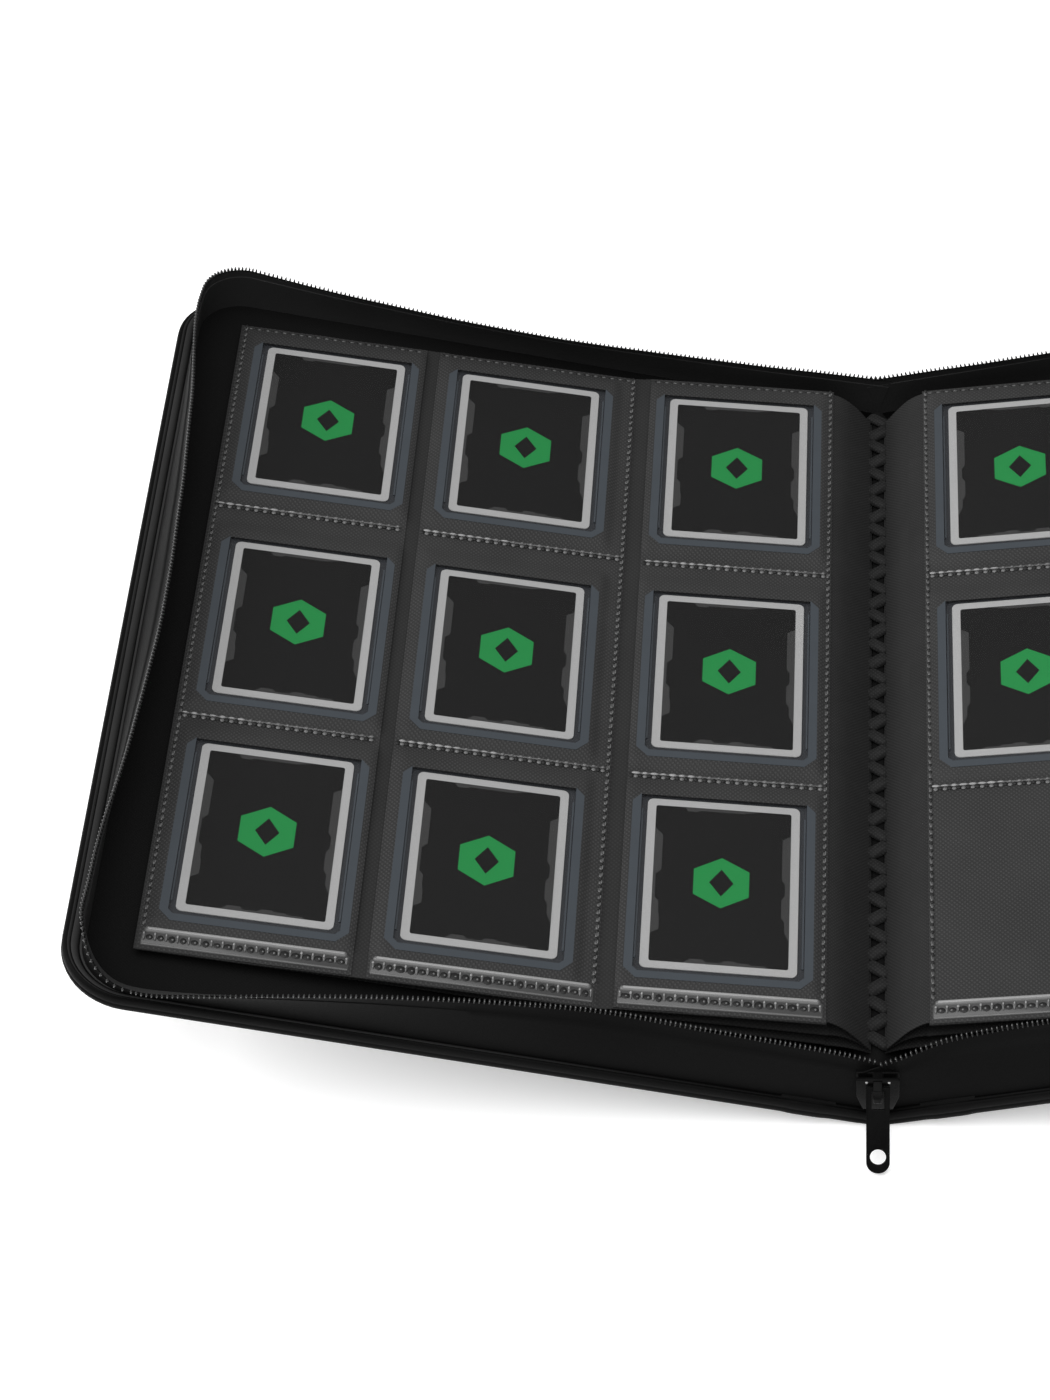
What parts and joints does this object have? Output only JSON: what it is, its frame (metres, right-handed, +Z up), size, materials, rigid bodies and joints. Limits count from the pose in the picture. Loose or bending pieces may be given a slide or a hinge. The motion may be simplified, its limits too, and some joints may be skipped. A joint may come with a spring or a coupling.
{
  "type": "trading card binder",
  "caption": "Zip-round binder for trading cards in rigid sleeves, lying open at its middle leaves, with side-loading pockets, laced gutter, zip walls, slider and pull.",
  "frame": {"origin": "centre of the spine's flat underside, on the surface it lies on", "axes": "+X towards the right cover, +Y away from the zip pull, +Z up"},
  "size_m": [0.6466, 0.4346, 0.1096],
  "materials": {
    "card_print": "printed card, satin",
    "sleeve_plastic": "smoked clear rigid plastic",
    "pocket_film": "clear textured film over dark cloth",
    "leaf_cloth": "woven polypropylene cloth",
    "lacing_cord": "flat lacing tape",
    "zip_teeth": "moulded coil teeth",
    "zip_metal": "black enamelled zinc",
    "board": "greyboard",
    "cover_skin": "smooth coated cloth",
    "edging": "piped edge binding",
    "lining": "black lining cloth",
    "zip_tape": "woven zip tape",
    "zip_cloth": "coated gusset cloth"
  },
  "bodies": {
    "spine": {"spine_skin": "cover_skin", "spine_board": "board", "spine_lining": "lining", "near_gusset": "zip_cloth", "far_gusset": "zip_cloth", "spine_zip_teeth": "zip_teeth", "binding_strip": "leaf_cloth", "gutter_lacing": "lacing_cord", "closed_chain": "zip_teeth", "bottom_stop": "zip_metal"},
    "left_cover": {"left_cover_skin": "cover_skin", "left_cover_board": "board", "left_cover_lining": "lining", "left_cover_edging": "edging", "left_zip_band": "zip_cloth", "left_zip_tape": "zip_tape", "left_zip_teeth": "zip_teeth"},
    "left_stack": {"left_margins": "leaf_cloth", "left_leaf_2": "leaf_cloth", "left_leaf_3": "leaf_cloth"},
    "left_leaf": {"left_leaf_sheet": "leaf_cloth", "left_film_outer": "pocket_film", "left_film_middle": "pocket_film", "left_film_inner": "pocket_film", "left_sleeves_outer": "sleeve_plastic", "left_sleeves_middle": "sleeve_plastic", "left_sleeves_inner": "sleeve_plastic", "left_cards_outer": "card_print", "left_cards_middle": "card_print", "left_cards_inner": "card_print"},
    "right_cover": {"right_cover_skin": "cover_skin", "right_cover_board": "board", "right_cover_lining": "lining", "right_cover_edging": "edging", "right_zip_band": "zip_cloth", "right_zip_tape": "zip_tape", "right_zip_teeth": "zip_teeth"},
    "right_stack": {"right_margins": "leaf_cloth", "right_leaf_2": "leaf_cloth", "right_leaf_3": "leaf_cloth"},
    "right_leaf": {"right_leaf_sheet": "leaf_cloth", "right_film_outer": "pocket_film", "right_film_middle": "pocket_film", "right_film_inner": "pocket_film", "right_sleeves_outer": "sleeve_plastic", "right_sleeves_middle": "sleeve_plastic", "right_sleeves_inner": "sleeve_plastic", "right_cards_outer": "card_print", "right_cards_middle": "card_print", "right_cards_inner": "card_print"},
    "slider": {"slider": "zip_metal", "slider_bridge": "zip_metal"},
    "pull": {"pull_tab": "zip_metal"}
  },
  "joints": [
    {"name": "left_cover_hinge", "type": "hinge", "parent": "spine", "child": "left_cover", "pos_m": [-0.02748, 0, 0.0128], "axis": [0, 1, 0], "range_deg": [-14.85, 76.15]},
    {"name": "left_stack_fold", "type": "hinge", "parent": "spine", "child": "left_stack", "pos_m": [-0.02008, 0, 0.02024], "axis": [0, 1, 0], "range_deg": [-14.9, 76.2], "deforming": ["left_margins"]},
    {"name": "left_leaf_turn", "type": "hinge", "parent": "left_stack", "child": "left_leaf", "pos_m": [0, 0, 0.04], "axis": [0, -1, 0], "range_deg": [-161, 0]},
    {"name": "right_cover_hinge", "type": "hinge", "parent": "spine", "child": "right_cover", "pos_m": [0.02748, 0, 0.0128], "axis": [0, -1, 0], "range_deg": [-14.85, 76.15]},
    {"name": "right_stack_fold", "type": "hinge", "parent": "spine", "child": "right_stack", "pos_m": [0.02008, 0, 0.02024], "axis": [0, -1, 0], "range_deg": [-14.9, 76.2], "deforming": ["right_margins"]},
    {"name": "right_leaf_turn", "type": "hinge", "parent": "right_stack", "child": "right_leaf", "pos_m": [0, 0, 0.04], "axis": [0, 1, 0], "range_deg": [-161, 0]},
    {"name": "slider_slide", "type": "slide", "parent": "spine", "child": "slider", "axis": [0, 0, 1], "range_m": [-0.0025, 0]},
    {"name": "pull_swing", "type": "hinge", "parent": "slider", "child": "pull", "pos_m": [0, -0.20715, 0.027], "axis": [1, 0, 0], "range_deg": [-140, 40]}
  ],
  "couplings": [
    {"joint": "left_stack_fold", "follows": "left_cover_hinge", "ratio": 1},
    {"joint": "right_stack_fold", "follows": "right_cover_hinge", "ratio": 1}
  ]
}
